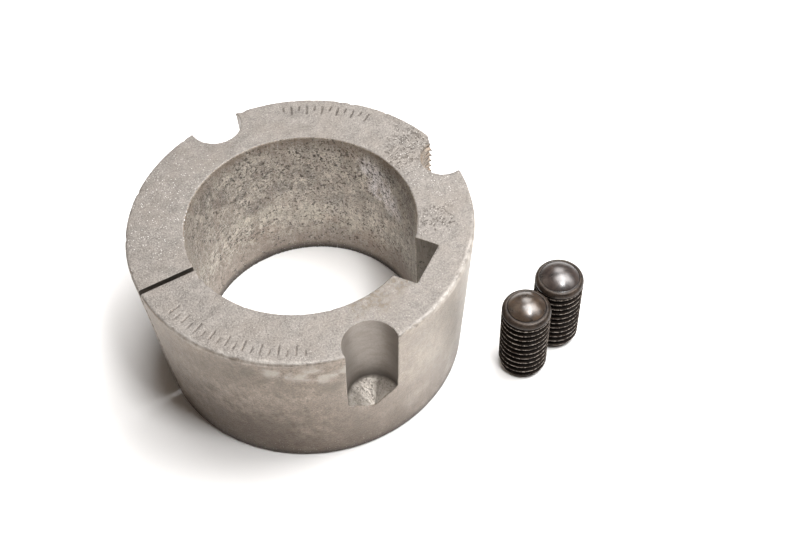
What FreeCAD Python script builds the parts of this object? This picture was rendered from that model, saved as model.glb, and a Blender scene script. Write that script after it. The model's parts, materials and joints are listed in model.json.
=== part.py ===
import FreeCAD, Part
import os
import Sketcher
from FreeCAD import Placement, Rotation, Vector

# Split taper bush, bored and keyed, with the two set screws that draw it into a hub. Millimetres.
# The origin is on the bore's axis at the small end's face. +Z points to the large end, and +X runs
# through the tapped half-hole, so the slit is at -X. The screws stand beside the bush, dome up.

DIMENSIONS = (
    ("bush_length", 44.45),
    ("large_end_diameter", 85.725),
    ("taper_half_angle", 4.0),
    ("bore_diameter", 57.15),
    ("bore_edge_break", 0.25),
    ("large_end_rounding", 0.5),
    ("small_end_chamfer", 0.6),
    ("slit_width", 1.25),
    ("keyway_width", 12.7),
    ("keyway_depth", 6.35),
    ("keyway_angle", -55.0),
    ("hole_circle_diameter", 82.55),
    ("clear_hole_angle", 95.0),
    ("clear_hole_diameter", 13.2),
    ("clear_hole_depth", 22.225),
    ("drill_point_angle", 118.0),
    ("thread_diameter", 12.7),
    ("threads_per_inch", 13.0),
    ("thread_mouth_diameter", 12.3),
    ("stamp_depth", 0.25),
    ("stamp_circle_diameter", 80.8),
    ("long_stroke", 3.2),
    ("short_stroke", 1.9),
    ("stroke_width", 0.5),
    ("stroke_gap", 2.1),
    ("stamp_step", 6.0),
    ("size_stamp_angle", 36.0),
    ("size_stamp_count", 6.0),
    ("maker_stamp_angle", -167.0),
    ("maker_stamp_count", 9.0),
    ("screw_length", 25.4),
    ("screw_crest_diameter", 12.6),
    ("screw_thread_depth", 1.2),
    ("screw_tip_chamfer", 1.7),
    ("screw_collar_height", 1.2),
    ("screw_collar_diameter", 10.8),
    ("dome_diameter", 10.0),
    ("dome_height", 2.1),
    ("socket_across_flats", 6.35),
    ("socket_depth", 7.5),
    ("front_screw_x", 42.3),
    ("front_screw_y", -38.25),
    ("front_screw_turn", 150.0),
    ("rear_screw_x", 54.9),
    ("rear_screw_y", -34.65),
    ("rear_screw_turn", 95.0),
)


def make_sheet(doc):
    """The driving dimensions: names in column A, aliased values in column B."""
    sheet = doc.addObject("Spreadsheet::Sheet", "dims")
    for row, (alias, value) in enumerate(DIMENSIONS, start=1):
        sheet.set(f"A{row}", alias)
        sheet.set(f"B{row}", str(value))
        sheet.setAlias(f"B{row}", alias)
    doc.recompute()
    return sheet


def make_body(doc, label):
    body = doc.addObject("PartDesign::Body", label)
    body.Label = label
    return body


def origin_feature(body, role):
    """One of the body's own origin planes or axes."""
    return next(part for part in body.Origin.OriginFeatures if part.Role == role)


def bind(item, bindings):
    """Bind properties of one object to expressions over the sheet."""
    for path, expression in bindings.items():
        item.setExpression(path, expression)


def make_sketch(body, name, plane="XY_Plane", offset=None):
    """A sketch on one of the body's origin planes, moved by bound offsets."""
    sketch = body.newObject("Sketcher::SketchObject", name)
    sketch.AttachmentSupport = [(origin_feature(body, plane), "")]
    sketch.MapMode = "FlatFace"
    bind(sketch, offset or {})
    body.Document.recompute()
    return sketch


def value(item, expression):
    """What an expression over the sheet comes to."""
    return float(item.evalExpression(expression))


def pin_point(sketch, geometry, point, across, up):
    """Hold one point of a sketch at bound distances from its origin."""
    for kind, axis, expression in (("DistanceX", -2, across), ("DistanceY", -1, up)):
        distance = value(sketch, expression)
        if abs(distance) < 1e-9:
            sketch.addConstraint(Sketcher.Constraint("PointOnObject", geometry, point, axis))
            continue
        index = sketch.addConstraint(Sketcher.Constraint(kind, -1, 1, geometry, point, distance))
        sketch.setExpression(f"Constraints[{index}]", expression)


def draw_outline(sketch, corners):
    """A closed outline of straight lines through corners given as pairs of expressions."""
    points = [Vector(value(sketch, across), value(sketch, up), 0) for across, up in corners]
    lines = []
    for start, end in zip(points, points[1:] + points[:1]):
        lines.append(sketch.addGeometry(Part.LineSegment(start, end), False))
    for line, following in zip(lines, lines[1:] + lines[:1]):
        sketch.addConstraint(Sketcher.Constraint("Coincident", line, 2, following, 1))
    for line, (across, up) in zip(lines, corners):
        pin_point(sketch, line, 1, across, up)
    return lines


def draw_circle(sketch, across, up, diameter):
    centre = Vector(value(sketch, across), value(sketch, up), 0)
    circle = Part.Circle(centre, Vector(0, 0, 1), value(sketch, diameter) / 2)
    index = sketch.addGeometry(circle, False)
    pin_point(sketch, index, 3, across, up)
    constraint = sketch.addConstraint(Sketcher.Constraint("Diameter", index, circle.Radius * 2))
    sketch.setExpression(f"Constraints[{constraint}]", diameter)


def revolve(body, name, sketch):
    """A full turn of a sketch about its own vertical axis."""
    feature = body.newObject("PartDesign::Revolution", name)
    feature.Profile = sketch
    feature.ReferenceAxis = (sketch, ["V_Axis"])
    feature.Angle = 360
    body.Document.recompute()
    return feature


def cut_through(body, name, sketch):
    feature = body.newObject("PartDesign::Pocket", name)
    feature.Profile = sketch
    feature.Type = "ThroughAll"
    body.Document.recompute()
    return feature


def cut_thread(body, name, sketch, bindings):
    """A right-hand groove swept up from a sketch about the sketch's own vertical axis."""
    feature = body.newObject("PartDesign::SubtractiveHelix", name)
    feature.Profile = sketch
    feature.ReferenceAxis = (sketch, ["V_Axis"])
    feature.Mode = "pitch-height-angle"
    bind(feature, bindings)
    body.Document.recompute()
    return feature


THREAD_PITCH = "25.4 / dims.threads_per_inch"
LARGE_END = {"AttachmentOffset.Base.z": "dims.bush_length"}
BORE_RADIUS = "dims.bore_diameter / 2"
LARGE_RADIUS = "dims.large_end_diameter / 2"
HOLE_CIRCLE_RADIUS = "dims.hole_circle_diameter / 2"


def make_blank(body):
    """The bored taper, with its edges broken."""
    flank = "tan(dims.taper_half_angle)"
    small_radius = f"{LARGE_RADIUS} - dims.bush_length * {flank}"
    profile = make_sketch(body, "blank_profile", "XZ_Plane")
    draw_outline(profile, (
        (BORE_RADIUS, "0"),
        (f"{small_radius} - dims.small_end_chamfer", "0"),
        (f"{small_radius} + dims.small_end_chamfer * {flank}", "dims.small_end_chamfer"),
        (LARGE_RADIUS, "dims.bush_length"),
        (f"{BORE_RADIUS} + dims.bore_edge_break", "dims.bush_length"),
        (BORE_RADIUS, "dims.bush_length - dims.bore_edge_break"),
    ))
    blank = revolve(body, "blank", profile)
    rim = max(range(len(blank.Shape.Edges)), key=lambda i: edge_reach(blank.Shape.Edges[i]))
    rounding = body.newObject("PartDesign::Fillet", "large_end_rounding")
    rounding.Base = (blank, [f"Edge{rim + 1}"])
    bind(rounding, {"Radius": "dims.large_end_rounding"})
    body.Document.recompute()


def edge_reach(edge):
    """Radius of a round edge, and 0 for a straight one."""
    return getattr(edge.Curve, "Radius", 0)


def cut_keyway(body):
    """A parallel keyway, its depth taken from the keyway's side."""
    floor = f"sqrt(pow({BORE_RADIUS}; 2) - pow(dims.keyway_width / 2; 2)) + dims.keyway_depth"
    sketch = make_sketch(body, "keyway_outline", offset=LARGE_END | {
        "AttachmentOffset.Rotation.Angle": "dims.keyway_angle * 1 deg",
    })
    draw_outline(sketch, (
        (f"{BORE_RADIUS} / 2", "-dims.keyway_width / 2"),
        (floor, "-dims.keyway_width / 2"),
        (floor, "dims.keyway_width / 2"),
        (f"{BORE_RADIUS} / 2", "dims.keyway_width / 2"),
    ))
    cut_through(body, "keyway", sketch)


def cut_slit(body):
    """The saw cut that lets the bush close on the shaft."""
    sketch = make_sketch(body, "slit_outline", offset=LARGE_END)
    draw_outline(sketch, (
        (f"-{LARGE_RADIUS} - 1", "-dims.slit_width / 2"),
        (f"-{BORE_RADIUS} / 2", "-dims.slit_width / 2"),
        (f"-{BORE_RADIUS} / 2", "dims.slit_width / 2"),
        (f"-{LARGE_RADIUS} - 1", "dims.slit_width / 2"),
    ))
    cut_through(body, "slit", sketch)


def drill_clear_holes(body):
    """The two plain blind half-holes, whose drilled floors take the screws' thrust."""
    sketch = make_sketch(body, "clear_hole_centres", offset=LARGE_END)
    for side in ("", "-"):
        draw_circle(
            sketch,
            f"{HOLE_CIRCLE_RADIUS} * cos(dims.clear_hole_angle)",
            f"{side}{HOLE_CIRCLE_RADIUS} * sin(dims.clear_hole_angle)",
            "dims.clear_hole_diameter",
        )
    body.Document.recompute()
    holes = body.newObject("PartDesign::Hole", "clear_holes")
    holes.Profile = sketch
    body.Document.recompute()
    holes.DepthType = "Dimension"
    holes.DrillPoint = "Angled"
    bind(holes, {
        "Diameter": "dims.clear_hole_diameter",
        "Depth": "dims.clear_hole_depth",
        "DrillPointAngle": "dims.drill_point_angle * 1 deg",
    })
    body.Document.recompute()


def tap_half_hole(body):
    """The tapped half-hole for the screw that jacks the bush out of its hub."""
    thread_height = f"sqrt(3) / 2 * {THREAD_PITCH}"
    minor_radius = f"dims.thread_diameter / 2 - 5 / 8 * {thread_height}"
    drill = make_sketch(body, "tap_drill_outline", offset=LARGE_END)
    draw_circle(drill, HOLE_CIRCLE_RADIUS, "0", f"2 * ({minor_radius})")
    cut_through(body, "tap_drill", drill)
    groove = make_sketch(body, "jack_groove_profile", "XZ_Plane", {
        "AttachmentOffset.Base.x": HOLE_CIRCLE_RADIUS,
        "AttachmentOffset.Base.y": f"-{THREAD_PITCH}",
    })
    crest = f"{minor_radius} - 0.2"
    draw_outline(groove, (
        (crest, f"-({THREAD_PITCH}) * 0.44"),
        ("dims.thread_diameter / 2", f"-({THREAD_PITCH}) / 16"),
        ("dims.thread_diameter / 2", f"{THREAD_PITCH} / 16"),
        (crest, f"{THREAD_PITCH} * 0.44"),
    ))
    cut_thread(body, "jack_thread", groove, {
        "Pitch": THREAD_PITCH,
        "Height": f"dims.bush_length + 2 * {THREAD_PITCH}",
    })
    mouth = body.newObject("PartDesign::SubtractiveCone", "jack_mouth")
    mouth_depth = f"dims.thread_mouth_diameter / 2 - ({minor_radius})"
    bind(mouth, {
        "Radius1": minor_radius,
        "Radius2": "dims.thread_mouth_diameter / 2",
        "Height": mouth_depth,
        "Placement.Base.x": HOLE_CIRCLE_RADIUS,
        "Placement.Base.z": f"dims.bush_length - ({mouth_depth})",
    })
    body.Document.recompute()


def stamp_row(body, name, angle, count):
    """A row of plain marks along the rim, each one a long stroke across it with a short one beside it."""
    marks = make_sketch(body, f"{name}_mark", offset=LARGE_END | {
        "AttachmentOffset.Rotation.Angle": f"{angle} * 1 deg",
    })
    outer = "dims.stamp_circle_diameter / 2"
    for length, aside in (("dims.long_stroke", "0"), ("dims.short_stroke", "dims.stroke_gap")):
        draw_outline(marks, (
            (f"{outer} - {length}", f"{aside} - dims.stroke_width / 2"),
            (outer, f"{aside} - dims.stroke_width / 2"),
            (outer, f"{aside} + dims.stroke_width / 2"),
            (f"{outer} - {length}", f"{aside} + dims.stroke_width / 2"),
        ))
    mark = body.newObject("PartDesign::Pocket", f"{name}_first")
    mark.Profile = marks
    mark.Type = "Length"
    bind(mark, {"Length": "dims.stamp_depth"})
    body.Document.recompute()
    row = body.newObject("PartDesign::PolarPattern", f"{name}_row")
    row.Originals = [mark]
    row.Axis = (origin_feature(body, "Z_Axis"), [""])
    bind(row, {
        "Angle": f"dims.stamp_step * ({count} - 1)",
        "Occurrences": count,
    })
    body.Tip = row
    body.Document.recompute()


def make_taper_bush(doc):
    body = make_body(doc, "taper_bush")
    make_blank(body)
    cut_keyway(body)
    cut_slit(body)
    drill_clear_holes(body)
    tap_half_hole(body)
    stamp_row(body, "size_stamp", "dims.size_stamp_angle", "dims.size_stamp_count")
    stamp_row(body, "maker_stamp", "dims.maker_stamp_angle", "dims.maker_stamp_count")
    return body


def draw_dome(sketch, rim_radius, base):
    """Half of a dome's section: its base, its axis and the arc over them."""
    height = value(sketch, "dims.dome_height")
    rim = Vector(value(sketch, rim_radius), value(sketch, base), 0)
    foot = Vector(0, rim.y, 0)
    top = Vector(0, rim.y + height, 0)
    sphere_radius = (rim.x ** 2 + height ** 2) / (2 * height)
    centre = Vector(0, top.y - sphere_radius, 0)
    middle = centre + (rim + top - centre * 2).normalize() * sphere_radius
    floor = sketch.addGeometry(Part.LineSegment(foot, rim), False)
    arc = sketch.addGeometry(Part.Arc(rim, middle, top), False)
    axis = sketch.addGeometry(Part.LineSegment(top, foot), False)
    sketch.addConstraint(Sketcher.Constraint("Coincident", floor, 2, arc, 1))
    sketch.addConstraint(Sketcher.Constraint("Coincident", arc, 2, axis, 1))
    sketch.addConstraint(Sketcher.Constraint("Coincident", axis, 2, floor, 1))
    sketch.addConstraint(Sketcher.Constraint("PointOnObject", arc, 3, -2))
    pin_point(sketch, floor, 1, "0", base)
    pin_point(sketch, arc, 1, rim_radius, base)
    pin_point(sketch, axis, 1, "0", "dims.screw_length")


def make_set_screw(doc, label, side):
    """A dome-point set screw, standing on its socket end."""
    body = make_body(doc, label)
    crest = "dims.screw_crest_diameter / 2"
    socket_corner = "dims.socket_across_flats / sqrt(3)"
    dome_base = "dims.screw_length - dims.dome_height"
    dome_radius = "dims.dome_diameter / 2"

    profile = make_sketch(body, f"{label}_profile", "XZ_Plane")
    draw_outline(profile, (
        ("0", f"{socket_corner} / sqrt(3)"),
        (socket_corner, "0"),
        (f"{crest} - dims.screw_tip_chamfer", "0"),
        (crest, "dims.screw_tip_chamfer"),
        (crest, f"{dome_base} - dims.screw_collar_height"),
        ("dims.screw_collar_diameter / 2", dome_base),
        (dome_radius, dome_base),
        ("0", dome_base),
    ))
    revolve(body, f"{label}_blank", profile)

    cap = make_sketch(body, f"{label}_dome_profile", "XZ_Plane")
    draw_dome(cap, dome_radius, dome_base)
    revolve(body, f"{label}_dome", cap)

    groove = make_sketch(body, f"{label}_groove_profile", "XZ_Plane", {
        "AttachmentOffset.Base.y": f"-{THREAD_PITCH}",
    })
    root = f"{crest} - dims.screw_thread_depth"
    overshoot = 0.3
    slope = 1 / 3 ** 0.5
    half_mouth = f"({THREAD_PITCH}) / 16 + {slope} * (dims.screw_thread_depth + {overshoot})"
    draw_outline(groove, (
        (root, f"-({THREAD_PITCH}) / 16"),
        (f"{crest} + {overshoot}", f"-({half_mouth})"),
        (f"{crest} + {overshoot}", half_mouth),
        (root, f"{THREAD_PITCH} / 16"),
    ))
    cut_thread(body, f"{label}_thread", groove, {
        "Pitch": THREAD_PITCH,
        "Height": f"{dome_base} - dims.screw_collar_height + {THREAD_PITCH}",
    })

    socket = body.newObject("PartDesign::SubtractivePrism", f"{label}_socket")
    socket.Polygon = 6
    bind(socket, {"Circumradius": socket_corner, "Height": "dims.socket_depth"})
    body.Document.recompute()

    bind(body, {
        "Placement.Base.x": f"dims.{side}_screw_x",
        "Placement.Base.y": f"dims.{side}_screw_y",
        "Placement.Rotation.Angle": f"dims.{side}_screw_turn * 1 deg",
    })
    return body


def main():
    doc = FreeCAD.newDocument("taper_bush_set")
    make_sheet(doc)
    pieces = [make_taper_bush(doc)]
    for side in ("front", "rear"):
        pieces.append(make_set_screw(doc, f"{side}_set_screw", side))
    doc.recompute()
    for item in doc.Objects:
        if {"Invalid", "Error"} & set(item.State):
            raise RuntimeError(f"{item.Label} failed: {item.State}")
    os.makedirs("parts", exist_ok=True)
    for piece in pieces:
        shape = piece.Shape
        if shape.isNull() or not shape.isValid() or len(shape.Solids) != 1:
            raise RuntimeError(f"{piece.Label} isn't one valid solid")
        shape.exportStep(os.path.join("parts", f"{piece.Label}.step"))
        print(piece.Label, round(shape.Volume, 1), "mm3", len(shape.Faces), "faces")


main()
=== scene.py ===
"""Looks of a split taper bush and its two set screws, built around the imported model. Metres, +Z up."""

import json
import math

import bpy
import numpy as np
from mathutils import Matrix, Vector


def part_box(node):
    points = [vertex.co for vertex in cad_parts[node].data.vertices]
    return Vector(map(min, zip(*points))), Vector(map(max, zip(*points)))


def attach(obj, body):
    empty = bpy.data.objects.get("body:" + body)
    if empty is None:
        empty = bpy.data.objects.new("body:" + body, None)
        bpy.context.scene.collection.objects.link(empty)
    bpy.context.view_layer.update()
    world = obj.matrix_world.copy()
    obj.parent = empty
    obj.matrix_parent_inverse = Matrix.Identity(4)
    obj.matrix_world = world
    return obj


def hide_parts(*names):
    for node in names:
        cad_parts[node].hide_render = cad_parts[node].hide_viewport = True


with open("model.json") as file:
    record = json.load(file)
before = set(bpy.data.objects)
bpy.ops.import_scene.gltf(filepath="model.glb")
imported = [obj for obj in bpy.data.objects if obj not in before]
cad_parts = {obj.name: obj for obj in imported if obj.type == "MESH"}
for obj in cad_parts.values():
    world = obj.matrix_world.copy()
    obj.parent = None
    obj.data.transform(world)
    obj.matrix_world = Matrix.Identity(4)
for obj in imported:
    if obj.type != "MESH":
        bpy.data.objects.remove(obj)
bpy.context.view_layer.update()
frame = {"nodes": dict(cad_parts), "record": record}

MOUNTS = {mount["name"]: mount for mount in frame["record"]["mounts"]}


# ---------------------------------------------------------------- sizes

MM = 0.001
SEED = 25

BUSH_LOW, BUSH_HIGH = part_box("taper_bush")
LENGTH = BUSH_HIGH.z
BORE_RADIUS = MOUNTS["shaft_bore"]["dims"]["r_mm"] * MM
KEY_FLOOR = Vector(MOUNTS["keyway"]["pos_m"]).xy
KEY_DIRECTION = KEY_FLOOR.normalized()
CLEAR_RADIUS = MOUNTS["front_clear_half_hole"]["dims"]["r_mm"] * MM
CLEAR_FLOOR = LENGTH - MOUNTS["front_clear_half_hole"]["dims"]["length_mm"] * MM
SIDES = ("front", "rear")
CLEAR_CENTRES = [Vector(MOUNTS[f"{side}_clear_half_hole"]["pos_m"]).xy for side in SIDES]
JACK_CENTRE = Vector(MOUNTS["jack_half_hole"]["pos_m"]).xy

# The frame's mounts don't give these, so they repeat the part's own dimensions.
KEY_HALF_WIDTH = 6.35 * MM
LARGE_RADIUS = 42.8625 * MM
TAPER = math.tan(math.radians(4))
SMALL_RADIUS = LARGE_RADIUS - LENGTH * TAPER
PITCH = 25.4 / 13 * MM


# ---------------------------------------------------------------- meshes

def new_object(name, data):
    obj = bpy.data.objects.new(name, data)
    bpy.context.scene.collection.objects.link(obj)
    return obj


def modify(obj, kind, **settings):
    """Put one modifier on an object and apply it."""
    modifier = obj.modifiers.new(kind.lower(), kind)
    for key, setting in settings.items():
        setattr(modifier, key, setting)
    depsgraph = bpy.context.evaluated_depsgraph_get()
    mesh = bpy.data.meshes.new_from_object(obj.evaluated_get(depsgraph), depsgraph=depsgraph)
    obj.modifiers.clear()
    obj.data = mesh


def vectors(items, kind):
    """One vector of each of a mesh's vertices or faces, as rows."""
    flat = np.empty(len(items) * 3, np.float32)
    items.foreach_get(kind, flat)
    return flat.reshape(-1, 3)


def coordinates(mesh):
    return vectors(mesh.vertices, "co").astype(float)


def normals(mesh):
    return vectors(mesh.vertices, "normal").astype(float)


def set_coordinates(mesh, points):
    mesh.vertices.foreach_set("co", points.astype(np.float32).ravel())
    mesh.update()


def ramp(source, start, stop):
    """From 0 at start to 1 at stop."""
    return np.clip((source - start) / (stop - start), 0, 1)


def eased(share):
    """A share from 0 to 1, made to start and stop gently."""
    return share * share * (3 - 2 * share)


def on_wall(radius, turn, level):
    """The point of a round wall at a turn in radians and a level."""
    return (radius * math.cos(turn), radius * math.sin(turn), level)


def put_attribute(mesh, name, values):
    mesh.attributes.new(name, "FLOAT", "POINT").data.foreach_set("value", values.astype(np.float32))


TINY = 1e-9
CONVEXITY_SCALE = 4


def convexity(mesh):
    """How far each vertex stands out of its neighbours, about 1 on a worn edge and -1 in a corner."""
    points, outward = coordinates(mesh), normals(mesh)
    ends = np.empty(len(mesh.edges) * 2, np.int32)
    mesh.edges.foreach_get("vertices", ends)
    first, second = ends.reshape(-1, 2).T
    span = points[second] - points[first]
    total = np.zeros((len(points), 3))
    count = np.zeros(len(points))
    length = np.zeros(len(points))
    reach = np.linalg.norm(span, axis=1)
    for start, way in ((first, span), (second, -span)):
        np.add.at(total, start, way)
        np.add.at(count, start, 1)
        np.add.at(length, start, reach)
    lift = -(total * outward).sum(1) / count
    return lift / np.maximum(length / count, TINY) * CONVEXITY_SCALE


# ---------------------------------------------------------------- the bush

VOXEL = 0.22 * MM
BUSH_TRIANGLES = 190_000

# The broken corner beside the tapped half-hole: azimuths in degrees, spread to either side.
CORNER_AZIMUTH, CORNER_NEAR_SPREAD, CORNER_FAR_SPREAD = 7.5, 2.4, 5.5
CORNER_REACH, CORNER_BREAK = 16 * MM, 1.8 * MM

# Where the large rim is worn: each pair is an azimuth where that wearing is nil, then one where it is full.
RUBBED_START, RUBBED_END = (178, 203), (356, 336)
LEFT_END = (258, 238)
RIGHT_START, RIGHT_END = (282, 296), (336, 322)
RIM_LEAST_MM, RIM_WORN_MM, RIM_MOST_MM = 0.55, 0.35, 0.45

NICKS, PITS = 34, 150
RIMS = ((LARGE_RADIUS - 0.2 * MM, LENGTH - 0.2 * MM), (SMALL_RADIUS - 0.3 * MM, 0.3 * MM),
        (BORE_RADIUS + 0.1 * MM, LENGTH))
RIM_SHARES = (0.5, 0.25, 0.25)

# The stamped strokes lie between these distances in from the large rim.
STROKES_OUTER, STROKES_INNER, STROKE_DEPTH = 2 * MM, 8 * MM, 0.2 * MM


def flank_radius(level):
    return LARGE_RADIUS - (LENGTH - level) * TAPER


def bush_skin():
    """The bush as an even, dense mesh, its large rim rubbed back and its sharp edges worn round."""
    skin = new_object("bush_skin", frame["nodes"]["taper_bush"].data.copy())
    modify(skin, "REMESH", mode="VOXEL", voxel_size=VOXEL)
    points = coordinates(skin.data)
    break_corner(points)
    rub_rim(points)
    set_coordinates(skin.data, points)
    modify(skin, "SMOOTH", factor=0.5, iterations=2)
    return skin


def break_corner(points):
    """Break back the corner where the tapped half-hole's far wall meets the flank."""
    aside = np.degrees(np.arctan2(points[:, 1], points[:, 0])) - CORNER_AZIMUTH
    spread = np.where(aside < 0, -CORNER_NEAR_SPREAD, CORNER_FAR_SPREAD)
    lower = np.clip((points[:, 2] - LENGTH + CORNER_REACH) / CORNER_REACH, 0, 1)
    share = eased(np.clip(1 - aside / spread, 0, 1)) * np.sqrt(lower)
    limit = flank_radius(points[:, 2]) - CORNER_BREAK * share
    radius = np.hypot(points[:, 0], points[:, 1])
    shrink = np.where((share > 0) & (radius > limit), limit / radius, 1)
    points[:, 0] *= shrink
    points[:, 1] *= shrink


def rim_rounding(points):
    """Radius the large rim is rubbed to, widest from the slit to the front half-hole and on its right."""
    around = np.degrees(np.arctan2(points[:, 1], points[:, 0])) % 360
    worn = ramp(around, *RUBBED_START) * ramp(around, *RUBBED_END)
    left = ramp(around, *LEFT_END)
    right = ramp(around, *RIGHT_START) * ramp(around, *RIGHT_END)
    turn = np.radians(around)
    uneven = 0.14 * np.sin(5 * turn + 1) + 0.09 * np.sin(13 * turn) + 0.06 * np.sin(31 * turn)
    return (RIM_LEAST_MM + worn * (RIM_WORN_MM + RIM_MOST_MM * left + RIM_MOST_MM * right + uneven)) * MM


def from_rounding(points):
    """The large rim's rounding at each point, and how far out and up the point lies from its centre."""
    rounding = rim_rounding(points)
    radius = np.hypot(points[:, 0], points[:, 1])
    return rounding, radius - LARGE_RADIUS + rounding, points[:, 2] - LENGTH + rounding


def rub_rim(points):
    """Round the large rim off."""
    rounding, out, up = from_rounding(points)
    both = (out > 0) & (up > 0)
    share = np.minimum(1, rounding / np.maximum(np.hypot(np.maximum(0, out), np.maximum(0, up)), TINY))
    radius = np.hypot(points[:, 0], points[:, 1])
    shrink = np.where(both, 1 - out * (1 - share) / radius, 1)
    points[:, 0] *= shrink
    points[:, 1] *= shrink
    points[:, 2] -= np.where(both, up * (1 - share), 0)


def rubbed(mesh):
    """How brightly the large rim's rounding is painted, strongest half way round it: rubbed metal with a
    painted highlight.
    """
    rounding, out, up = from_rounding(coordinates(mesh))
    tilt = np.arctan2(np.maximum(up, 0), np.maximum(out, TINY))
    rim = (out > -0.2 * MM) & (up > -0.2 * MM) & (np.hypot(out, up) > 0.7 * rounding)
    brightness = np.clip((rounding / MM - RIM_LEAST_MM) * 1.3, 0.15, 1)
    return np.where(rim, np.sin(2 * tilt) * brightness, 0)


def dent(points, outward, place, reach, depth):
    """A smooth hollow pressed into the surface around one place."""
    apart = ((points - np.array(place)) ** 2).sum(1)
    near = np.flatnonzero(apart < reach * reach)
    share = 1 - apart[near] / (reach * reach)
    points[near] -= outward[near] * (depth * share * share)[:, None]


def wear_down(mesh):
    """Nicks along the rims and rust pits in the bore."""
    random = np.random.default_rng(SEED)
    points, outward = coordinates(mesh), normals(mesh)
    for _ in range(NICKS):
        around = random.uniform(0, 2 * np.pi)
        radius, level = RIMS[random.choice(len(RIMS), p=RIM_SHARES)]
        reach = random.uniform(0.5, 1.5) * MM
        depth = reach * random.uniform(0.1, 0.25)
        dent(points, outward, on_wall(radius, around, level), reach, depth)
    for _ in range(PITS):
        around = random.normal(1.35, 0.75)
        level = LENGTH * np.clip(random.normal(0.7, 0.16), 0.05, 0.97)
        reach = random.uniform(0.28, 0.6) * MM
        dent(points, outward, on_wall(BORE_RADIUS, around, level), reach, reach * 0.45)
    set_coordinates(mesh, points)


def stamped(mesh):
    """How far each vertex is sunk into the large end's face, from 0 to 1 at a stamped stroke's floor."""
    points = coordinates(mesh)
    radius = np.hypot(points[:, 0], points[:, 1])
    in_band = (radius > LARGE_RADIUS - STROKES_INNER) & (radius < LARGE_RADIUS - STROKES_OUTER)
    sunk = (LENGTH - points[:, 2]) / STROKE_DEPTH
    return np.where(in_band & (sunk < 1.6), np.clip(sunk, 0, 1), 0)


FACE, BASE, FLANK, BORE, THREADED, SLOT, SLIT, DRILLED = range(8)
SLIT_REACH, CONE_REACH, THREAD_REACH, END_REACH = 0.9 * MM, 4.2 * MM, 6.6 * MM, 0.8 * MM


def bush_regions(mesh):
    """Which machined surface each face of the bush belongs to, a later rule over an earlier one."""
    centre, facing = vectors(mesh.polygons, "center"), vectors(mesh.polygons, "normal")
    x, y, z = centre.T
    radius = np.hypot(x, y)
    along = x * KEY_DIRECTION.x + y * KEY_DIRECTION.y
    aside = x * KEY_DIRECTION.y - y * KEY_DIRECTION.x
    region = np.full(len(x), FLANK)
    region[radius < BORE_RADIUS + 0.4 * MM] = BORE
    in_key = (along > 0) & (np.abs(aside) < KEY_HALF_WIDTH + 0.3 * MM) & (radius > BORE_RADIUS + 0.3 * MM)
    region[in_key & (along < KEY_FLOOR.length + 0.4 * MM)] = SLOT
    region[(np.abs(y) < SLIT_REACH) & (x < -BORE_RADIUS) & (np.abs(facing[:, 1]) > 0.6)] = SLIT
    for number, hole in enumerate(CLEAR_CENTRES):
        near = np.hypot(x - hole.x, y - hole.y) < CLEAR_RADIUS + 0.25 * MM
        inside = radius < flank_radius(z) - 0.25 * MM
        region[near & (z > CLEAR_FLOOR - CONE_REACH) & inside] = DRILLED + number
    region[np.hypot(x - JACK_CENTRE.x, y - JACK_CENTRE.y) < THREAD_REACH] = THREADED
    region[(facing[:, 2] > 0.75) & (z > LENGTH - END_REACH)] = FACE
    region[(facing[:, 2] < -0.75) & (z < END_REACH)] = BASE
    return region


def build_bush():
    skin = bush_skin()
    wear_down(skin.data)
    put_attribute(skin.data, "wear_and_shade", convexity(skin.data))
    put_attribute(skin.data, "stamped", stamped(skin.data))
    put_attribute(skin.data, "rubbed", rubbed(skin.data))
    triangles = 2 * len(skin.data.polygons)
    modify(skin, "DECIMATE", ratio=min(1, BUSH_TRIANGLES / triangles))
    mesh = skin.data
    set_coordinates(mesh, np.clip(coordinates(mesh), np.array(BUSH_LOW), np.array(BUSH_HIGH)))
    mesh.shade_smooth()
    mesh.materials.clear()
    for material in bush_materials():
        mesh.materials.append(material)
    mesh.polygons.foreach_set("material_index", bush_regions(mesh).astype(np.int32))
    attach(skin, "bush")
    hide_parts("taper_bush")


# ---------------------------------------------------------------- the set screws

AROUND = 192
ANGLES = np.arange(AROUND) * 2 * np.pi / AROUND
RING = np.ones(AROUND)
ROWS_PER_PITCH = 20
SOCKET_APOTHEM = 3.175 * MM
SOCKET_CORNER = SOCKET_APOTHEM * 2 / math.sqrt(3)
SOCKET_DEPTH, SOCKET_SLOPE, SOCKET_POINT = 7.5 * MM, 1.2 * MM, 1.6 * MM
THREAD_DEPTH = 1.25 * MM
THREAD_OVERRUN, THREAD_FADE = 0.1 * MM, 0.5 * MM
TIP_CHAMFER = 1.7 * MM
COLLAR_HEIGHT = 1.5 * MM
DOME_LIP = 0.35 * MM
DOME, COLLAR, THREAD = range(3)


def hexagon(angle):
    """Distance from the middle of a hexagonal socket to its wall."""
    return SOCKET_APOTHEM / np.cos((angle % (np.pi / 3)) - np.pi / 6)


def thread_cut(height, turn):
    """How deep the thread is cut around the screw, from 0 on its crest to 1 in its root."""
    turns = height / PITCH - (ANGLES - math.radians(turn)) / (2 * np.pi)
    from_root = np.abs((turns + 0.5) % 1 - 0.5) * PITCH
    root_flat, mouth = PITCH / 16, PITCH / 16 + THREAD_DEPTH / math.sqrt(3)
    cut = np.clip((mouth - from_root) / (mouth - root_flat), 0, 1)
    return eased(cut) * 0.35 + cut * 0.65


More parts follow.
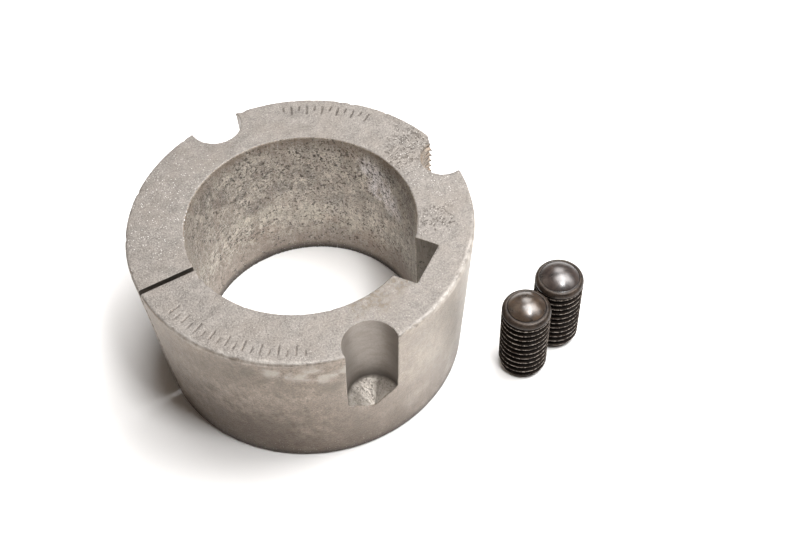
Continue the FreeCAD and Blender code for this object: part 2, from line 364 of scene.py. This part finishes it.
def socket_rows(turn, foot):
    """Rows from the socket's floor up its wall to its mouth, then out towards the chamfer's foot."""
    wall = hexagon(ANGLES - math.radians(turn))
    mouth = (SOCKET_CORNER - wall) / math.sqrt(3)
    rows = []
    for share in (0.3, 0.65, 0.97):
        rows.append((wall * share, RING * (SOCKET_DEPTH + (1 - share) * SOCKET_SLOPE)))
    for share in np.linspace(0.02, 1, 9):
        rows.append((wall, SOCKET_DEPTH + (mouth - SOCKET_DEPTH) * share))
    for share in (0.0, 0.1, 0.5, 0.9):
        rows.append((RING * (SOCKET_CORNER + (foot - SOCKET_CORNER) * share), RING * 0))
    return rows


def thread_rows(crest, foot, top, turn):
    """Rows of the chamfered and threaded stretch, whose thread fades out at its top."""
    rows = []
    for level in np.arange(0, top, PITCH / ROWS_PER_PITCH):
        fade = np.clip((top - level) / THREAD_FADE, 0, 1)
        cut = crest - thread_cut(level, turn) * THREAD_DEPTH * fade
        rows.append((np.minimum(min(crest, foot + level), cut), RING * level))
    return rows


def collar_rows(crest, start, radius, top):
    """Rows of the rounded collar, from the thread in to a radius."""
    rows = []
    for share in np.linspace(0, 1, 10)[1:]:
        tilt = share * math.pi / 2
        rows.append((RING * (radius + (crest - radius) * math.cos(tilt)),
                     RING * (start + (top - start) * math.sin(tilt))))
    return rows


def dome_rows(radius, rise, top):
    """Rows of a dome whose edge has a radius and whose middle stands at the top."""
    sphere = (radius ** 2 + rise ** 2) / (2 * rise)
    half = math.asin(radius / sphere)
    rows = []
    for share in np.linspace(0.97, 0.03, 30):
        tilt = half * share
        rows.append((RING * sphere * math.sin(tilt), RING * (top - sphere * (1 - math.cos(tilt)))))
    return rows


def screw_rows(crest, height, turn, dome_radius, dome_height):
    """The surface from the socket's floor, out, up and over to the dome, as (radius, height) rows."""
    foot = crest - TIP_CHAMFER
    collar_top = height - dome_height
    thread_top = collar_top - COLLAR_HEIGHT + THREAD_OVERRUN
    rows = socket_rows(turn, foot) + thread_rows(crest, foot, thread_top, turn)
    reached = rows[-1][1][0]
    rows += collar_rows(crest, reached, dome_radius + DOME_LIP, collar_top)
    for out, down in ((DOME_LIP * 0.5, 0.02 * MM), (0.12 * MM, 0.1 * MM), (0.02 * MM, 0.12 * MM)):
        rows.append((RING * (dome_radius + out), RING * (collar_top - down)))
    return rows + dome_rows(dome_radius, dome_height, height)


def ring_faces(rings):
    """Quads between rings of points and fans to the first and last points, numbered as they are joined."""
    faces = []
    for ring in range(rings - 1):
        for step in range(AROUND):
            here, beside = 1 + ring * AROUND + step, 1 + ring * AROUND + (step + 1) % AROUND
            faces.append((here, beside, beside + AROUND, here + AROUND))
    last = 1 + (rings - 1) * AROUND
    for step in range(AROUND):
        faces.append((0, 1 + (step + 1) % AROUND, 1 + step))
        faces.append((last + step, last + (step + 1) % AROUND, 1 + rings * AROUND))
    return faces


def build_screw(side, turn, dome_radius, dome_height):
    """A dome-point set screw standing on its socket end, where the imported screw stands."""
    node = f"{side}_set_screw"
    low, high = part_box(node)
    middle = (low + high) / 2
    crest = min(high.x - low.x, high.y - low.y) / 2
    rows = screw_rows(crest, high.z, turn, dome_radius, dome_height)
    radius = np.array([row[0] for row in rows])
    level = np.array([row[1] for row in rows])
    x = middle.x + radius * np.cos(ANGLES)
    y = middle.y + radius * np.sin(ANGLES)
    points = [(middle.x, middle.y, SOCKET_DEPTH + SOCKET_POINT)]
    points += list(zip(x.ravel(), y.ravel(), level.ravel()))
    points.append((middle.x, middle.y, high.z))
    mesh = bpy.data.meshes.new(f"{side}_screw_skin")
    mesh.from_pydata(points, [], ring_faces(len(rows)))
    mesh.update()
    mesh.shade_smooth()
    collar_foot = high.z - dome_height - COLLAR_HEIGHT
    cut = np.concatenate([[1], np.clip((crest - radius) / THREAD_DEPTH, 0, 1).ravel(), [0]])
    threaded = np.array([point[2] for point in points]) < collar_foot
    put_attribute(mesh, "root", np.where(threaded, np.clip(cut * 4, 0, 1), 0))
    put_attribute(mesh, "crest", np.where(threaded, np.clip(1 - cut * 60, 0, 1), 0))
    put_attribute(mesh, "wear_and_shade", convexity(mesh))
    screw = new_object(f"{side}_screw_skin", mesh)
    for material in screw_materials(side):
        mesh.materials.append(material)
    x, y, z = vectors(mesh.polygons, "center").T
    outside_dome = np.hypot(x - middle.x, y - middle.y) > dome_radius - 0.05 * MM
    part = np.where(z < collar_foot, THREAD, np.where(outside_dome, COLLAR, DOME))
    mesh.polygons.foreach_set("material_index", part.astype(np.int32))
    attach(screw, f"{side}_screw")
    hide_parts(node)


# ---------------------------------------------------------------- materials

class Nodes:
    """Short forms for building one material's node tree."""

    def __init__(self, name):
        self.material = bpy.data.materials.new(name)
        self.material.use_nodes = True
        self.tree = self.material.node_tree
        self.shader = self.tree.nodes["Principled BSDF"]
        self.coords = self.tree.nodes.new("ShaderNodeTexCoord").outputs["Object"]

    def put(self, kind, inputs=None, **settings):
        node = self.tree.nodes.new(kind)
        for key, setting in settings.items():
            setattr(node, key, setting)
        for key, source in (inputs or {}).items():
            self.join(source, node.inputs[key])
        return node

    def join(self, source, socket):
        if isinstance(source, bpy.types.NodeSocket):
            self.tree.links.new(source, socket)
        else:
            socket.default_value = source

    def vector(self, operation, first, second=None, output="Vector"):
        inputs = {0: first} if second is None else {0: first, 1: second}
        return self.put("ShaderNodeVectorMath", inputs, operation=operation).outputs[output]

    def stretched(self, scale):
        """Object coordinates scaled by three numbers."""
        return self.vector("MULTIPLY", self.coords, scale)

    def from_axis(self, centre):
        """The level way from an upright axis through a centre."""
        away = self.vector("SUBTRACT", self.coords, (centre.x, centre.y, 0))
        return self.vector("MULTIPLY", away, (1, 1, 0))

    def spokes(self, centre):
        """Directions around an upright axis through a centre, for marks that run out from it."""
        return self.vector("NORMALIZE", self.from_axis(centre))

    def noise(self, size, detail=3.0, roughness=0.5, coords=None):
        """Noise from 0 to 1 whose lumps are about size metres across."""
        made = self.put("ShaderNodeTexNoise", {"Vector": coords or self.coords, "Scale": 1 / size,
                                               "Detail": detail, "Roughness": roughness})
        return made.outputs["Fac"]

    def patches(self, size, low, high, detail=3, roughness=0.5, coords=None):
        """Noise sharpened into patches: 0 where it is under low, 1 where it is over high."""
        return self.remap(self.noise(size, detail, roughness, coords), low, high)

    def specks(self, size, share, reach=0.3):
        """Round dots, each one reach times size in radius, in a share of cells of that size."""
        made = self.put("ShaderNodeTexVoronoi", {"Vector": self.coords, "Scale": 1 / size})
        chosen = self.put("ShaderNodeSeparateColor", {0: made.outputs["Color"]}).outputs[0]
        chosen = self.math("GREATER_THAN", chosen, 1 - share)
        return self.times(chosen, self.remap(made.outputs["Distance"], reach, reach * 0.6))

    def remap(self, source, low, high, to_low=0.0, to_high=1.0):
        made = self.put("ShaderNodeMapRange", {"Value": source, "From Min": low, "From Max": high,
                                               "To Min": to_low, "To Max": to_high})
        return made.outputs["Result"]

    def rise(self, low, high, to_low=0.0, to_high=1.0):
        """From 0 at one height to 1 at another, both as shares of the bush's length."""
        parts = self.put("ShaderNodeSeparateXYZ", {0: self.coords})
        return self.remap(self.math("DIVIDE", parts.outputs["Z"], LENGTH), low, high, to_low, to_high)

    def math(self, operation, first, second):
        return self.put("ShaderNodeMath", {0: first, 1: second}, operation=operation).outputs[0]

    def times(self, first, second):
        return self.math("MULTIPLY", first, second)

    def most(self, first, second):
        return self.math("MAXIMUM", first, second)

    def attribute(self, name):
        return self.put("ShaderNodeAttribute", attribute_name=name).outputs["Fac"]

    def mix(self, share, first, second):
        made = self.put("ShaderNodeMix", data_type="RGBA")
        for socket, source in ((0, share), (6, first), (7, second)):
            self.join(source, made.inputs[socket])
        return made.outputs[2]

    def bump(self, layers):
        """Bumps laid over each other, each one (height, depth in metres)."""
        normal = None
        for height, depth in layers:
            made = self.put("ShaderNodeBump", {"Height": height, "Distance": depth, "Strength": 1.0})
            if normal is not None:
                self.join(normal, made.inputs["Normal"])
            normal = made.outputs["Normal"]
        self.join(normal, self.shader.inputs["Normal"])


def rgb(red, green, blue):
    return (red, green, blue, 1.0)


STAIN, RUST = rgb(0.15, 0.12, 0.095), rgb(0.24, 0.165, 0.11)
# The glint colour is a painted highlight: the colour of glints off the metal's facets.
PAINTED_GLINT, SOOT = rgb(0.85, 0.83, 0.80), rgb(0.035, 0.030, 0.026)
WORN_EDGE, RUBBED_RIM_HIGHLIGHT, CORNER_SHADE = rgb(0.55, 0.53, 0.50), rgb(0.56, 0.525, 0.485), rgb(0.05, 0.04, 0.034)


class Iron(Nodes):
    """Bare grey iron, built up from a mottled ground, layer on layer."""

    def __init__(self, name, light, dark, grain=0.5 * MM, relief=0.02 * MM):
        super().__init__(name)
        fine = self.patches(grain, 0.32, 0.68, 2, 0.75)
        broad = self.patches(3 * MM, 0.32, 0.68, 4, 0.6)
        self.ground = self.math("ADD", self.times(fine, 0.65), self.times(broad, 0.35))
        self.colour = self.mix(self.ground, dark, light)
        self.layers = [(fine, relief)]

    def tint(self, mask, colour, strength=1.0):
        """Lay a colour over what is there, where a mask allows."""
        if strength != 1.0:
            mask = self.times(mask, strength)
        self.colour = self.mix(mask, self.colour, colour)

    def clouds(self, size, colour, strength, stretch=(1, 1, 1), edge=(0.45, 0.68)):
        """Soft patches about size across."""
        patches = self.noise(size, 4, 0.6, self.stretched(stretch))
        self.tint(self.remap(patches, *edge), colour, strength)

    def near(self, place, reach):
        """From 1 at an upright axis through a place to 0 at a reach from it, with a ragged edge."""
        apart = self.vector("LENGTH", self.from_axis(place), output="Value")
        ragged = self.remap(self.noise(4 * MM), 0.3, 0.7, -reach / 3, reach / 3)
        return self.remap(self.math("ADD", apart, ragged), reach, reach * 0.4)

    def spot(self, azimuth, radius, level, reach, tall=1.0):
        """From 1 at a spot on a round wall to 0 at a reach from it, with a ragged edge."""
        away = self.vector("SUBTRACT", self.coords, on_wall(radius, math.radians(azimuth), level))
        apart = self.vector("LENGTH", self.vector("MULTIPLY", away, (1, 1, 1 / tall)), output="Value")
        ragged = self.remap(self.noise(2.5 * MM, 4, 0.65), 0.3, 0.7, -reach / 2, reach / 2)
        return self.remap(self.math("ADD", apart, ragged), reach, reach * 0.3)

    def stains_and_painted_light(self, radius, tall, colour, strength, places):
        """Patches on a round wall, each one (azimuth in degrees, level in mm, reach in mm): real staining,
        and in the bore also a painted highlight and painted shade.
        """
        for azimuth, level, reach in places:
            self.tint(self.spot(azimuth, radius, level * MM, reach * MM, tall), colour, strength)

    def side(self, azimuth):
        """From 1 where the bush faces an azimuth to 0 about a quarter turn away."""
        towards = on_wall(1, math.radians(azimuth), 0)
        facing = self.vector("DOT_PRODUCT", self.spokes(Vector((0, 0))), towards, "Value")
        return self.remap(facing, 0.1, 0.9)

    def blots(self, size, colour, strength, where=None, edge=(0.60, 0.66), depth=0.06 * MM):
        """Ragged dark blots about size across, slightly sunk."""
        blot = self.remap(self.noise(size, 2, 0.7), *edge)
        if where is not None:
            blot = self.times(blot, where)
        self.tint(blot, colour, strength)
        self.layers.append((self.math("SUBTRACT", 1.0, blot), depth))

    def finish(self, rough, metallic=0.6, rubbed=0.3):
        """Rub the edges bright, paint shade into the corners, and wire the shader."""
        wear_and_shade = self.attribute("wear_and_shade")
        worn = self.patches(1.5 * MM, 0.35, 0.6, 3, 0.6)
        self.tint(self.times(self.remap(wear_and_shade, 0.3, 1.1, 0, rubbed), worn), WORN_EDGE)
        # Painted shade in corners and hollows, where the surface is concave.
        self.tint(self.remap(wear_and_shade, -0.2, -1.0, 0, 0.8), CORNER_SHADE)
        # The large rim's rounding made lighter: rubbed metal with a painted highlight, strongest half way
        # round the rounding.
        rim = self.attribute("rubbed")
        scuffed = self.remap(worn, 0, 1, 0.35, 1)
        patchy = self.times(scuffed, self.remap(self.noise(5 * MM), 0.35, 0.6, 0.3, 1))
        self.tint(self.times(rim, patchy), RUBBED_RIM_HIGHLIGHT, 0.72)
        self.join(self.colour, self.shader.inputs["Base Color"])
        self.join(self.remap(self.ground, 0.2, 0.8, *rough), self.shader.inputs["Roughness"])
        self.shader.inputs["Metallic"].default_value = metallic
        self.bump(self.layers)
        return self.material


# Places on the large end's face where its look changes.
BY_SLIT = Vector((-28, 24)) * MM
BY_JACK, BY_KEY = Vector((36.5, 7.5)) * MM, Vector((28.6, -17.6)) * MM
INNER_FRONT, INNER_RIGHT = Vector((3, -29.5)) * MM, Vector((11, -27.5)) * MM
BACK_STROKES = Vector((24, 31)) * MM


def blasted_face():
    """The large end's face, coarse beside the tapped half-hole and the keyway, with painted glints and
    painted shade in its stamped strokes.
    """
    iron = Iron("blasted_face", rgb(0.306, 0.280, 0.254), rgb(0.102, 0.091, 0.082), 0.45 * MM, 0.05 * MM)
    iron.clouds(9 * MM, rgb(0.205, 0.172, 0.143), 0.3)
    iron.blots(0.5 * MM, rgb(0.09, 0.078, 0.066), 0.4, edge=(0.60, 0.72))
    # Painted glints: bright specks standing in for sparkle off the blasted facets, thickest towards the slit
    # and the tapped half-hole, a few all over.
    sparkling = iron.most(iron.near(BY_SLIT, 26 * MM), iron.near(JACK_CENTRE, 16 * MM))
    iron.tint(iron.times(iron.specks(0.5 * MM, 0.3), sparkling), PAINTED_GLINT, 0.5)
    iron.tint(iron.specks(0.5 * MM, 0.12), PAINTED_GLINT, 0.2)
    coarse = iron.most(iron.near(BY_JACK, 12 * MM), iron.near(BY_KEY, 7 * MM))
    iron.blots(0.7 * MM, rgb(0.12, 0.097, 0.075), 0.4, coarse, (0.54, 0.68), 0.22 * MM)
    iron.tint(iron.times(iron.specks(0.7 * MM, 0.25), coarse), rgb(0.62, 0.58, 0.53), 0.4)
    stained = iron.most(iron.near(INNER_FRONT, 7 * MM), iron.near(INNER_RIGHT, 6 * MM))
    stained = iron.times(stained, iron.patches(0.9 * MM, 0.46, 0.58))
    iron.tint(stained, rgb(0.13, 0.10, 0.066), 0.6)
    # Painted shade in the stamped strokes, deeper in those towards the back.
    stroke = iron.attribute("stamped")
    iron.tint(stroke, rgb(0.06, 0.05, 0.042), 0.6)
    iron.tint(iron.times(stroke, iron.near(BACK_STROKES, 26 * MM)), rgb(0.03, 0.025, 0.02), 0.7)
    return iron.finish((0.5, 0.66), 0.4)


def ground_base():
    """The small end's face."""
    iron = Iron("ground_base", rgb(0.34, 0.31, 0.28), rgb(0.20, 0.18, 0.16))
    iron.clouds(7 * MM, STAIN, 0.4)
    iron.blots(0.9 * MM, rgb(0.08, 0.065, 0.055), 0.7, iron.patches(7 * MM, 0.45, 0.6, 2))
    return iron.finish((0.45, 0.6))


def turned_flank():
    """The taper, stained on its upper left, with painted shade towards its foot and over its lower left,
    painted light on its right, and pale mottling there.
    """
    iron = Iron("turned_flank", rgb(0.45, 0.375, 0.307), rgb(0.175, 0.143, 0.115), relief=0.06 * MM)
    iron.clouds(9 * MM, rgb(0.135, 0.112, 0.09), 0.4, (1, 1, 0.9), (0.45, 0.65))
    iron.clouds(2.4 * MM, STAIN, 0.25, (1, 1, 0.8), (0.45, 0.62))
    iron.clouds(0.45 * MM, rgb(0.10, 0.082, 0.064), 0.5, edge=(0.50, 0.66))
    iron.clouds(1.1 * MM, rgb(0.11, 0.09, 0.07), 0.3, (1, 1, 0.35), (0.5, 0.62))
    iron.tint(iron.specks(0.45 * MM, 0.3), rgb(0.66, 0.60, 0.53), 0.3)
    iron.stains_and_painted_light(LARGE_RADIUS, 0.6, rgb(0.145, 0.125, 0.10), 0.4,
                ((214, 37, 15), (236, 34, 8), (250, 33, 6), (226, 40, 6)))
    iron.stains_and_painted_light(LARGE_RADIUS, 0.7, rgb(0.54, 0.50, 0.45), 0.5,
                ((241, 39, 4), (249, 37.5, 3.4), (233, 40.5, 3), (256, 39.5, 3), (246, 41.5, 3.4)))
    # Painted shade over the lower left of the taper, which faces the floor's shadow.
    iron.tint(iron.spot(212, SMALL_RADIUS, 8 * MM, 26 * MM, 0.8), rgb(0.08, 0.058, 0.042), 0.68)
    # Painted light: the side facing the side lamp made lighter and greyer.
    iron.tint(iron.side(-30), rgb(0.62, 0.58, 0.53), 0.3)
    mottled = iron.times(iron.side(-8), iron.patches(2 * MM, 0.38, 0.64, 5, 0.7))
    iron.tint(mottled, rgb(0.72, 0.69, 0.64), 0.26)
    # Painted shade: the taper darkens and browns towards its foot, standing in for the shaded floor it
    # reflects there.
    low = iron.times(iron.rise(0.6, 0.0), iron.patches(9 * MM, 0.15, 0.5))
    iron.tint(low, rgb(0.09, 0.062, 0.042), 0.8)
    # Painted shade: a thin dark band along the foot, where the small end's chamfer faces the floor.
    iron.tint(iron.rise(0.07, 0.015), rgb(0.04, 0.028, 0.02), 0.9)
    # Painted glints: bright specks over the lowest quarter of the taper.
    foot = iron.rise(0.25, 0.0)
    iron.tint(iron.times(iron.specks(0.5 * MM, 0.25), foot), PAINTED_GLINT, 0.4)
    return iron.finish((0.36, 0.5), 0.6, 0.6)


def stain_bore(iron):
    """Broad stained patches, light polished patches low on the far wall, darker patches and a darker left
    wall round the bore, with a painted highlight on its right under the lip and painted shade down its right
    side.
    """
    iron.clouds(6 * MM, rgb(0.15, 0.132, 0.115), 0.4, (1, 1, 1.2), (0.52, 0.68))
    iron.stains_and_painted_light(BORE_RADIUS, 0.7, rgb(0.80, 0.755, 0.63), 0.35,
                ((39, 11.5, 5), (62, 14.5, 7), (84, 17, 6), (100, 19, 5)))
    for strength, place in ((0.5, (50, 13, 3.5)), (0.4, (36, 41, 5)), (0.45, (88, 11, 6)), (0.6, (25, 8, 8))):
        iron.stains_and_painted_light(BORE_RADIUS, 0.7, rgb(0.52, 0.40, 0.32), strength, (place,))
    iron.tint(iron.spot(172, BORE_RADIUS, 22 * MM, 44 * MM), rgb(0.19, 0.162, 0.13), 0.76)
    iron.stains_and_painted_light(BORE_RADIUS, 0.7, rgb(0.11, 0.098, 0.088), 0.45,
                ((79, 27, 5), (92, 22, 4), (111, 33, 5), (46, 21, 4), (11, 23.5, 3), (124, 38, 6),
                 (62, 31, 4), (100, 29, 3)))
    # Painted highlight: a pale lavender sheen on the right of the bore, below its lip.
    iron.stains_and_painted_light(BORE_RADIUS, 1.2, rgb(1.0, 0.965, 0.975), 0.75,
                ((24, 37.5, 4.5), (19, 34.5, 5.5), (14, 32, 5), (9, 29, 4.5), (22, 31, 3.5)))
    # Painted shade down the right of the bore, darkest under its lip, where the wall turns from the lamps.
    for strength, place in ((0.8, (8, 43, 8)), (0.75, (-8, 36, 10)), (0.55, (-2, 10, 12)),
                            (0.5, (-18, 20, 14))):
        iron.stains_and_painted_light(BORE_RADIUS, 1, rgb(0.13, 0.112, 0.096), strength, (place,))


def grain_bore(iron):
    """Fine light and dark grain, upright streaks, a rusty lip and a dark foot."""
    rough = iron.rise(0.05, 0.4, 0.75, 1)
    pepper = iron.patches(0.5 * MM, 0.5, 0.62, 2, 0.8)
    iron.tint(iron.times(pepper, rough), rgb(0.11, 0.093, 0.08), 0.5)
    salt = iron.patches(0.5 * MM, 0.54, 0.64, 2, 0.8, iron.stretched((1.3, 1.3, 1)))
    iron.tint(iron.times(salt, rough), rgb(1.0, 0.95, 0.88), 0.45)
    iron.clouds(0.5 * MM, rgb(0.15, 0.12, 0.095), 0.22, (1, 1, 0.12), (0.46, 0.62))
    iron.clouds(2.5 * MM, rgb(0.30, 0.235, 0.19), 0.35, (1, 1, 0.3), (0.46, 0.62))
    lip = iron.times(iron.rise(0.88, 0.98), iron.patches(6 * MM, 0.3, 0.5))
    iron.tint(lip, rgb(0.19, 0.14, 0.10), 0.6)
    iron.tint(iron.rise(0.42, 0.03), rgb(0.20, 0.155, 0.125), 0.72)
    iron.tint(iron.rise(0.075, 0.02), rgb(0.035, 0.026, 0.02), 0.92)


def pit_bore(iron):
    """Rust pits, most of them in a band under the lip, and pale crust round the middle ones."""
    band = iron.times(iron.rise(0.35, 0.85), iron.rise(0.98, 0.9))
    pitted = iron.times(band, iron.patches(8 * MM, 0.3, 0.5))
    iron.blots(0.5 * MM, SOOT, 0.5, pitted, (0.58, 0.66), 0.12 * MM)
    iron.blots(1.2 * MM, SOOT, 0.9, pitted, (0.60, 0.65), 0.2 * MM)
    middle = iron.times(iron.rise(0.16, 0.26), iron.rise(0.5, 0.4))
    iron.blots(1.0 * MM, SOOT, 0.85, middle, (0.60, 0.65), 0.15 * MM)
    crust = iron.times(iron.patches(1.4 * MM, 0.5, 0.62, 3, 0.7), middle)
    iron.tint(crust, rgb(0.95, 0.90, 0.78), 0.3)
    iron.blots(0.9 * MM, SOOT, 0.75, iron.patches(5 * MM, 0.38, 0.52), (0.575, 0.65), 0.14 * MM)


def bored_wall():
    """The bore, with painted glints along its lip beside the slit."""
    iron = Iron("bored_wall", rgb(0.88, 0.81, 0.71), rgb(0.33, 0.295, 0.255), 0.4 * MM, 0.05 * MM)
    stain_bore(iron)
    grain_bore(iron)
    pit_bore(iron)
    # Painted glints: bright specks all over the bore.
    iron.tint(iron.specks(0.5 * MM, 0.3), PAINTED_GLINT, 0.35)
    # Painted glints: white specks along the bore's lip beside the slit.
    left_lip = iron.spot(160, BORE_RADIUS, LENGTH, 15 * MM, 0.3)
    iron.tint(iron.times(iron.specks(0.7 * MM, 0.5, 0.4), left_lip), rgb(1, 1, 1), 0.9)
    return iron.finish((0.4, 0.58), 0.3, 0.1)


def drilled_wall(name, centre):
    """A plain half-hole: a smooth wall with painted shade near its foot, over a cone with the drill's spokes.
    """
    iron = Iron(name, rgb(0.34, 0.307, 0.274), rgb(0.24, 0.212, 0.187), relief=0.012 * MM)
    iron.clouds(4 * MM, STAIN, 0.3, (1, 1, 2.5))
    cone = iron.rise((CLEAR_FLOOR + 0.3 * MM) / LENGTH, (CLEAR_FLOOR - 0.5 * MM) / LENGTH)
    # Painted shade on the wall just above the cone, where the wall meets it.
    above = iron.rise((CLEAR_FLOOR + 7 * MM) / LENGTH, (CLEAR_FLOOR + 0.5 * MM) / LENGTH)
    iron.tint(iron.times(above, above), rgb(0.06, 0.05, 0.042), 0.7)
    turned = iron.patches(0.3, 0.38, 0.66, 3, 0.6, iron.spokes(centre))
    iron.tint(iron.times(iron.remap(turned, 0, 1, 0.35, 1), cone), rgb(0.70, 0.65, 0.58), 0.62)
    iron.blots(0.45 * MM, SOOT, 0.6, cone, (0.54, 0.68), 0.05 * MM)
    iron.blots(2.0 * MM, rgb(0.10, 0.08, 0.06), 0.4, cone, (0.48, 0.66), 0.01 * MM)
    return iron.finish((0.34, 0.5), 0.6)


def tapped_wall():
    iron = Iron("tapped_wall", rgb(0.30, 0.255, 0.21), rgb(0.13, 0.11, 0.09))
    iron.clouds(3 * MM, RUST, 0.4)
    return iron.finish((0.32, 0.5), 0.5, 1.0)


def key_wall():
    iron = Iron("key_wall", rgb(0.36, 0.322, 0.28), rgb(0.21, 0.187, 0.16))
    iron.clouds(0.5 * MM, SOOT, 0.4, (1, 1, 0.15))
    iron.blots(1.0 * MM, SOOT, 0.75, iron.patches(4 * MM, 0.5, 0.6))
    return iron.finish((0.4, 0.6))


def slit_wall():
    # Nearly black: painted shade inside the narrow slit.
    iron = Iron("slit_wall", rgb(0.07, 0.06, 0.05), rgb(0.03, 0.026, 0.022))
    iron.clouds(0.6 * MM, RUST, 0.2, (0.2, 0.2, 1))
    return iron.finish((0.5, 0.7), 0.3)


def bush_materials():
    """One material for each machined surface, in the order of the regions."""
    drilled = [drilled_wall(f"{side}_drilled_wall", centre) for side, centre in zip(SIDES, CLEAR_CENTRES)]
    return [blasted_face(), ground_base(), turned_flank(), bored_wall(), tapped_wall(), key_wall(),
            slit_wall(), *drilled]


def black_oxide(name, ground, brown, rough, gloss, index=1.5):
    """Blackened steel, browned with age, with thin bright crests, worn and partly a painted highlight, nearly
    black roots and painted shade in its hollows.
    """
    made = Nodes(name)
    root, crest, wear_and_shade = (made.attribute(kind) for kind in ("root", "crest", "wear_and_shade"))
    clouds = made.patches(2.5 * MM, 0.36, 0.64, 4, 0.6)
    speck = made.patches(0.45 * MM, 0.46, 0.62, 3, 0.6)
    worn = made.patches(1.1 * MM, 0.38, 0.62, 3, 0.6)
    colour = made.mix(clouds, ground, brown)
    colour = made.mix(made.times(speck, 0.2), colour, rgb(0.14, 0.10, 0.075))
    colour = made.mix(root, colour, rgb(0.010, 0.0075, 0.006))
    # Worn crests, partly a painted highlight: thin bright broken lines along the thread's crests.
    bright = made.times(crest, made.remap(made.noise(0.6 * MM, 2, 0.6), 0.44, 0.6, 0.05, 0.8))
    colour = made.mix(bright, colour, rgb(0.50, 0.44, 0.385))
    edge = made.times(made.remap(wear_and_shade, 0.5, 1.4), made.remap(worn, 0, 1, 0.0, 0.14))
    colour = made.mix(edge, colour, rgb(0.36, 0.31, 0.27))
    # Painted shade in the hollows, such as the groove round the dome.
    colour = made.mix(made.remap(wear_and_shade, -0.15, -0.8), colour, rgb(0.008, 0.006, 0.005))
    made.join(colour, made.shader.inputs["Base Color"])
    made.join(made.remap(clouds, 0, 1, *rough), made.shader.inputs["Roughness"])
    made.shader.inputs["Metallic"].default_value = 0.3
    made.shader.inputs["Specular IOR Level"].default_value = gloss
    made.shader.inputs["IOR"].default_value = index
    made.bump([(made.noise(0.35 * MM, 3, 0.6), 0.004 * MM)])
    return made.material


DOME_GROUND = {"front": rgb(0.018, 0.0125, 0.0095), "rear": rgb(0.016, 0.0135, 0.014)}
DOME_BROWN = {"front": rgb(0.066, 0.039, 0.021), "rear": rgb(0.042, 0.029, 0.025)}
COLLAR_GROUND, COLLAR_BROWN = rgb(0.012, 0.009, 0.0075), rgb(0.036, 0.025, 0.018)
THREAD_GROUND, THREAD_BROWN = rgb(0.008, 0.006, 0.005), rgb(0.028, 0.018, 0.013)


def screw_materials(side):
    """The dome, the collar round it, then the thread and socket."""
    return (black_oxide(f"{side}_dome_oxide", DOME_GROUND[side], DOME_BROWN[side], (0.27, 0.31), 1.0, 1.6),
            black_oxide(f"{side}_collar_oxide", COLLAR_GROUND, COLLAR_BROWN, (0.34, 0.42), 0.3),
            black_oxide(f"{side}_thread_oxide", THREAD_GROUND, THREAD_BROWN, (0.5, 0.65), 0.1))


# ---------------------------------------------------------------- stage

# Metres from the object's foot to the floor's edges and to every light.
FLOOR_REACH = 3.0
LIGHT_DISTANCE = 0.7
STUDIO_COLOUR, STUDIO_STRENGTH = rgb(1.0, 0.82, 0.68), 0.14
PAPER = rgb(0.86, 0.855, 0.85)


def add_floor():
    mesh = bpy.data.meshes.new("floor")
    corners = [(x * FLOOR_REACH, y * FLOOR_REACH, 0) for x, y in ((-1, -1), (1, -1), (1, 1), (-1, 1))]
    mesh.from_pydata(corners, [], [(0, 1, 2, 3)])
    floor = new_object("floor", mesh)
    made = Nodes("paper")
    made.shader.inputs["Base Color"].default_value = PAPER
    made.shader.inputs["Roughness"].default_value = 0.9
    made.shader.inputs["Specular IOR Level"].default_value = 0.1
    mesh.materials.append(made.material)


def add_light(name, azimuth, elevation, size, watts):
    """A square soft light aimed at the object, azimuth from +X towards +Y."""
    data = bpy.data.lights.new(name, "AREA")
    data.shape = "SQUARE"
    data.size = size
    data.energy = watts
    light = new_object(name, data)
    around, up = math.radians(azimuth), math.radians(elevation)
    away = Vector((math.cos(around) * math.cos(up), math.sin(around) * math.cos(up), math.sin(up)))
    light.location = away * LIGHT_DISTANCE
    light.rotation_mode = "QUATERNION"
    light.rotation_quaternion = away.to_track_quat("Z", "Y")


def add_lighting():
    world = bpy.data.worlds.new("studio")
    bpy.context.scene.world = world
    world.use_nodes = True
    background = world.node_tree.nodes["Background"]
    background.inputs["Color"].default_value = STUDIO_COLOUR
    background.inputs["Strength"].default_value = STUDIO_STRENGTH
    add_light("key", 0, 78, 0.38, 4.2)
    add_light("front", -10, 60, 0.4, 3.3)
    add_light("side", -30, 45, 0.35, 1.0)
    add_light("rear", 48, 44, 0.3, 1.9)
    add_light("glint", -72, 67, 0.12, 2.45)
    bpy.context.scene.view_settings.view_transform = "Standard"


# Angles in degrees, the azimuth from -Y towards +X; the lens in mm, over a sensor 36 mm wide.
CAMERA_AIM = Vector((22.21, -9.37, 22.0)) * MM
CAMERA_AZIMUTH, CAMERA_ELEVATION, CAMERA_ROLL = -28.736, 51.149, 2.203
CAMERA_DISTANCE = 323.92 * MM
CAMERA_LENS, CAMERA_SENSOR = 55.957, 36.0


def add_camera():
    """Looks down on the bush from the photo's angle, turned about its own line of sight by the roll."""
    data = bpy.data.cameras.new("camera")
    data.lens = CAMERA_LENS
    data.sensor_width = CAMERA_SENSOR
    data.clip_start = 0.01
    camera = new_object("camera", data)
    azimuth, elevation, roll = map(math.radians, (CAMERA_AZIMUTH, CAMERA_ELEVATION, CAMERA_ROLL))
    back = Vector((math.sin(azimuth) * math.cos(elevation), -math.cos(azimuth) * math.cos(elevation),
                   math.sin(elevation)))
    across = Vector((math.cos(azimuth), math.sin(azimuth), 0))
    turned = Matrix.Rotation(roll, 3, -back) @ across
    up = back.cross(turned)
    basis = Matrix((turned, up, back)).transposed()
    camera.matrix_world = Matrix.Translation(CAMERA_AIM + back * CAMERA_DISTANCE) @ basis.to_4x4()
    bpy.context.scene.camera = camera


# ---------------------------------------------------------------- the scene

build_bush()
build_screw("front", 150, 4.85 * MM, 2.1 * MM)
build_screw("rear", 95, 5.0 * MM, 2.0 * MM)

add_floor()
add_lighting()
add_camera()
